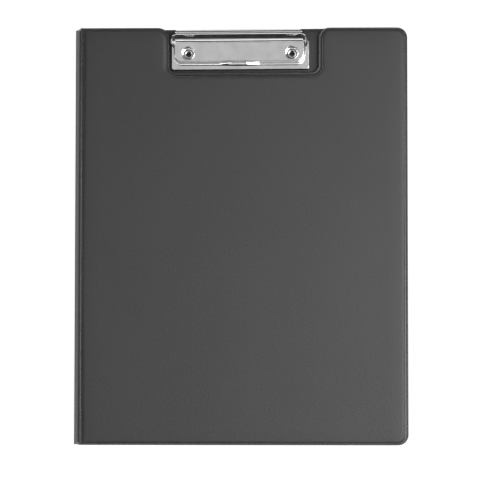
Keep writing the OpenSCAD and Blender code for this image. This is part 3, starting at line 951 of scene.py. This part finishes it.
def build_tree(tree, name, sizes, place):
    """Runs a tree with its sizes and keeps the plain mesh."""
    obj = bpy.data.objects.new(name, bpy.data.meshes.new(name))
    bpy.context.scene.collection.objects.link(obj)
    modifier = obj.modifiers.new("build", "NODES")
    modifier.node_group = tree
    for item in tree.interface.items_tree:
        if item.in_out == "INPUT":
            modifier[item.identifier] = float(sizes[item.name])
    apply_modifiers(obj)
    obj.data.transform(Matrix.Scale(MM, 4) @ place)
    obj.data.shade_smooth()
    obj.data.set_sharp_from_angle(angle=math.radians(SMOOTH_ANGLE))
    return obj


def tube(tree, inner, outer, tall, middle):
    """A ring round Z between two radii: a round section that is stretched to its height."""
    wall = add(tree, "ShaderNodeMath", {0: outer, 1: inner}, operation="SUBTRACT")
    section = add(tree, "ShaderNodeMath", {0: wall, 1: 0.5}, operation="MULTIPLY")
    radius = add(tree, "ShaderNodeMath", {0: inner, 1: section}, operation="ADD")
    path = add(tree, "GeometryNodeCurvePrimitiveCircle", {"Resolution": ROUND_STEPS, "Radius": radius})
    round_wall = add(
        tree, "GeometryNodeCurvePrimitiveCircle", {"Resolution": SECTION_STEPS, "Radius": section}
    )
    mesh = add(tree, "GeometryNodeCurveToMesh", {"Curve": path, "Profile Curve": round_wall})
    stretch = add(tree, "ShaderNodeMath", {0: tall, 1: wall}, operation="DIVIDE")
    return add(tree, "GeometryNodeTransform", {
        "Geometry": mesh,
        "Translation": add(tree, "ShaderNodeCombineXYZ", {"Z": middle}),
        "Scale": add(tree, "ShaderNodeCombineXYZ", {"X": 1.0, "Y": 1.0, "Z": stretch}),
    })


RIVET_SIZES = {
    "Pitch": RIVETS[1].x - RIVETS[0].x,
    "Head radius": 3.8,
    "Hollow radius": 1.85,
    "Shank radius": 2.4,
    "Clinch radius": 3.4,
    "Head thickness": 0.8,
    "End thickness": 0.6,
    "Height": 4.4,
}
SLEEVE_SHORTER = 0.3  # the sleeve ends inside the head and the clinched end


def rivets_tree(material):
    """Two closed-end tubular rivets: a rolled head, a sleeve, and a clinched end."""
    tree, size = size_tree("tubular_rivets", RIVET_SIZES)
    height, end_tall = size["Height"], size["End thickness"]
    head_z = add(
        tree, "ShaderNodeMath", {0: size["Head thickness"], 1: -0.5, 2: height}, operation="MULTIPLY_ADD"
    )
    head = tube(tree, size["Hollow radius"], size["Head radius"], size["Head thickness"], head_z)
    sleeve_tall = add(tree, "ShaderNodeMath", {0: height, 1: SLEEVE_SHORTER}, operation="SUBTRACT")
    sleeve_z = add(tree, "ShaderNodeMath", {0: height, 1: 0.5}, operation="MULTIPLY")
    sleeve = tube(tree, size["Hollow radius"], size["Shank radius"], sleeve_tall, sleeve_z)
    disc = add(tree, "GeometryNodeMeshCylinder", {
        "Vertices": ROUND_STEPS, "Radius": size["Clinch radius"], "Depth": end_tall,
    })
    end_z = add(tree, "ShaderNodeMath", {0: end_tall, 1: 0.5}, operation="MULTIPLY")
    end_place = add(tree, "ShaderNodeCombineXYZ", {"Z": end_z})
    end = add(tree, "GeometryNodeTransform", {"Geometry": disc, "Translation": end_place})
    rivet = add(tree, "GeometryNodeJoinGeometry", {0: [head, sleeve, end]})
    pitch = add(tree, "ShaderNodeCombineXYZ", {"X": size["Pitch"]})
    places = add(tree, "GeometryNodeMeshLine", {"Count": 2, "Offset": pitch}, mode="OFFSET")
    rivets = add(tree, "GeometryNodeInstanceOnPoints", {"Points": places, "Instance": rivet})
    return finish_tree(tree, rivets, material)


SPRING_BOX = [in_mm(corner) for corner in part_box("clip_spring")]
WIRE_R = 0.45
SPRING_SIZES = {
    "Wire radius": WIRE_R,
    "Coil radius": 1.65,
    "Length": SPRING_BOX[1].x - SPRING_BOX[0].x - 2 * WIRE_R,
    "Turns": 6.5,
    "Leg length": 9.0,
}
LEG_POINTS = 6.0
TURN_POINTS = 36.0
WIRE_STEPS = 14


def spring_tree(material):
    """Round wire wound as a helix along X, with a straight leg at each end."""
    tree, size = size_tree("torsion_spring", SPRING_SIZES)
    coil = add(tree, "ShaderNodeMath", {0: size["Turns"], 1: TURN_POINTS}, operation="MULTIPLY")
    coil = add(tree, "ShaderNodeMath", {0: coil}, operation="ROUND")
    count = add(tree, "ShaderNodeMath", {0: coil, 1: 2 * LEG_POINTS + 1}, operation="ADD")
    index = add(tree, "GeometryNodeInputIndex")

    # A point's place on the coil, and how far along a leg it lies before the coil or after it
    along = add(tree, "ShaderNodeMath", {0: index, 1: LEG_POINTS}, operation="SUBTRACT")
    along = add(tree, "ShaderNodeMath", {0: along, 1: 0.0}, operation="MAXIMUM")
    step = add(tree, "ShaderNodeMath", {0: along, 1: coil}, operation="MINIMUM")
    before = add(tree, "ShaderNodeMath", {0: LEG_POINTS, 1: index}, operation="SUBTRACT")
    before = add(tree, "ShaderNodeMath", {0: before, 1: 0.0}, operation="MAXIMUM")
    after = add(tree, "ShaderNodeMath", {0: along, 1: coil}, operation="SUBTRACT")
    after = add(tree, "ShaderNodeMath", {0: after, 1: 0.0}, operation="MAXIMUM")
    leg = add(tree, "ShaderNodeMath", {0: after, 1: before}, operation="ADD")
    leg_step = add(tree, "ShaderNodeMath", {0: size["Leg length"], 1: LEG_POINTS}, operation="DIVIDE")
    leg = add(tree, "ShaderNodeMath", {0: leg, 1: leg_step}, operation="MULTIPLY")

    angle = add(
        tree, "ShaderNodeMath", {0: step, 1: 2 * math.pi / TURN_POINTS, 2: -math.pi / 2},
        operation="MULTIPLY_ADD",
    )
    share = add(tree, "ShaderNodeMath", {0: step, 1: coil}, operation="DIVIDE")
    share = add(tree, "ShaderNodeMath", {0: share, 1: 0.5}, operation="SUBTRACT")
    x = add(tree, "ShaderNodeMath", {0: share, 1: size["Length"]}, operation="MULTIPLY")
    y = add(tree, "ShaderNodeMath", {0: angle}, operation="COSINE")
    y = add(tree, "ShaderNodeMath", {0: y, 1: size["Coil radius"]}, operation="MULTIPLY")
    y = add(tree, "ShaderNodeMath", {0: y, 1: leg}, operation="SUBTRACT")
    z = add(tree, "ShaderNodeMath", {0: angle}, operation="SINE")
    z = add(tree, "ShaderNodeMath", {0: z, 1: size["Coil radius"]}, operation="MULTIPLY")
    place = add(tree, "ShaderNodeCombineXYZ", {"X": x, "Y": y, "Z": z})

    line = add(tree, "GeometryNodeMeshLine", {"Count": count, "Offset": (1, 0, 0)}, mode="OFFSET")
    line = add(tree, "GeometryNodeSetPosition", {"Geometry": line, "Position": place})
    path = add(tree, "GeometryNodeMeshToCurve", {"Mesh": line})
    section = add(tree, "GeometryNodeCurvePrimitiveCircle", {
        "Resolution": WIRE_STEPS, "Radius": size["Wire radius"],
    })
    wire = add(
        tree, "GeometryNodeCurveToMesh", {"Curve": path, "Profile Curve": section, "Fill Caps": True}
    )
    return finish_tree(tree, wire, material)


place_piece(build_base(), (BRIGHT_NICKEL,), "nickel_base", "back", "clip_base")
place_piece(build_flap(), (FLAP_NICKEL,), "nickel_flap", "flap", "clip_flap")
for node in ("pivot_pin", "rivet_washer_left", "rivet_washer_right"):
    dress(frame["nodes"][node], BRIGHT_NICKEL)

left_rivet = Matrix.Translation((*RIVETS[0], 0))
rivets = build_tree(rivets_tree(RIVET_NICKEL), "clip_rivets", RIVET_SIZES, left_rivet)
place_piece(rivets, (RIVET_NICKEL,), "nickel_rivet", "back", "rivet_left", "rivet_right")

spring = build_tree(spring_tree(SPRING_STEEL), "clip_spring_wire", SPRING_SIZES, AT_CLIP)
dress(spring, SPRING_STEEL)
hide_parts("clip_spring")
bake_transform(spring)

# ---- Stage: floor, backdrop, panels and lamps, in metres ----

FLOOR_HALF = 6.0
FLOOR_DROP = 0.0002
FLOOR_GLOW = 0.88
FLOOR_SHADE = (0.25, 0.25, 0.25, 1)
FLOOR_BOUNCE = (0.8, 0.8, 0.8, 1)
WORLD_LEVEL = 0.35
WHITE = (1, 1, 1, 1)


def stage_panel(name, paint, place, half):
    """A flat rectangle of the stage, and the empty tree of its paint."""
    bm = bmesh.new()
    bmesh.ops.create_grid(bm, x_segments=1, y_segments=1, size=1)
    bmesh.ops.scale(bm, vec=(half[0], half[1], 1), verts=bm.verts)
    mesh = bpy.data.meshes.new(name)
    bm.to_mesh(mesh)
    bm.free()
    panel = bpy.data.objects.new(name, mesh)
    panel.location = place
    bpy.context.scene.collection.objects.link(panel)
    material = bpy.data.materials.new(paint)
    panel.data.materials.append(material)
    return panel, empty_tree(material)


def seen(tree):
    """1 where the camera sees something directly, in a reflection or through glass, and else 0."""
    path = add(tree, "ShaderNodeLightPath").outputs
    either = add(
        tree, "ShaderNodeMath", {0: path["Is Camera Ray"], 1: path["Is Glossy Ray"]}, operation="MAXIMUM"
    )
    return add(tree, "ShaderNodeMath", {0: either, 1: path["Is Transmission Ray"]}, operation="MAXIMUM")


def pale_floor():
    """White paper sweep: white to the camera and in reflections, with the folder's soft shadow."""
    tree = stage_panel("floor", "white_paper", (0, 0, -FLOOR_DROP), (FLOOR_HALF, FLOOR_HALF))[1]
    glow = add(tree, "ShaderNodeEmission", {"Color": WHITE, "Strength": FLOOR_GLOW})
    shade = add(tree, "ShaderNodeBsdfDiffuse", {"Color": FLOOR_SHADE})
    white = add(tree, "ShaderNodeAddShader", {0: glow, 1: shade})
    plain = add(tree, "ShaderNodeBsdfDiffuse", {"Color": FLOOR_BOUNCE})
    mixed = add(tree, "ShaderNodeMixShader", {0: seen(tree), 1: plain, 2: white})
    add(tree, "ShaderNodeOutputMaterial", {"Surface": mixed})


def white_world():
    """White to the camera and in reflections, and a plain grey light on the folder."""
    world = bpy.data.worlds.new("studio")
    tree = empty_tree(world)
    strength = add(tree, "ShaderNodeMapRange", {
        "Value": seen(tree), "To Min": WORLD_LEVEL, "To Max": 1.0,
    })
    sky = add(tree, "ShaderNodeBackground", {"Color": WHITE, "Strength": strength})
    add(tree, "ShaderNodeOutputWorld", {"Surface": sky})
    bpy.context.scene.world = world


def glow_panel(name, place, half, level):
    """A plain panel, unseen by the camera, which the plated steel and the vinyl reflect."""
    panel, tree = stage_panel(name, name + "_paint", place, half)
    panel.visible_camera = False
    glow = add(tree, "ShaderNodeEmission", {"Color": WHITE, "Strength": level})
    add(tree, "ShaderNodeOutputMaterial", {"Surface": glow})
    return panel


def softbox(name, place, aim, size, power):
    """A soft rectangular lamp, turned towards a point."""
    data = bpy.data.lights.new(name, "AREA")
    data.shape = "RECTANGLE"
    data.size, data.size_y = size
    data.energy = power
    lamp = bpy.data.objects.new(name, data)
    lamp.location = place
    lamp.rotation_euler = (Vector(aim) - Vector(place)).to_track_quat("-Z", "Y").to_euler()
    bpy.context.scene.collection.objects.link(lamp)


# Panels overhead, as (name, place, half size, level)
PANELS = (
    ("dark_ceiling", (0, 0, 2.6), (5.0, 5.0), 0.05),
    ("overhead_panel", (-0.15, 0.56, 2.45), (0.8, 0.5), 0.75),
)
# Low upright screens, which put a bright line on bends: the same, and a turn in degrees
SCREENS = (
    ("front_screen", (0, -2.6, 0.5), (2.4, 0.45), 1.9, 0),
    ("left_screen", (-2.6, 0, 0.5), (2.0, 0.45), 1.3, -90),
    ("right_screen", (2.6, 0, 0.5), (2.0, 0.45), 1.3, 90),
)
# Lamps, as (name, place, the point that it faces, size, watts)
LAMPS = (
    ("key_softbox", (1.0, -0.12, 1.7), (0.1, -0.05, 0), (1.0, 1.4), 34),
    ("front_strip", (0.0, -0.42, 1.95), (0, 0.1, 0), (2.0, 0.26), 4),
    ("left_strip", (-1.35, 0.1, 1.75), (0, 0, 0), (0.2, 1.6), 4),
)

pale_floor()
white_world()
for panel in PANELS:
    glow_panel(*panel)
for *panel, turn in SCREENS:
    glow_panel(*panel).rotation_euler = (math.radians(-90), 0, math.radians(turn))
for lamp in LAMPS:
    softbox(*lamp)
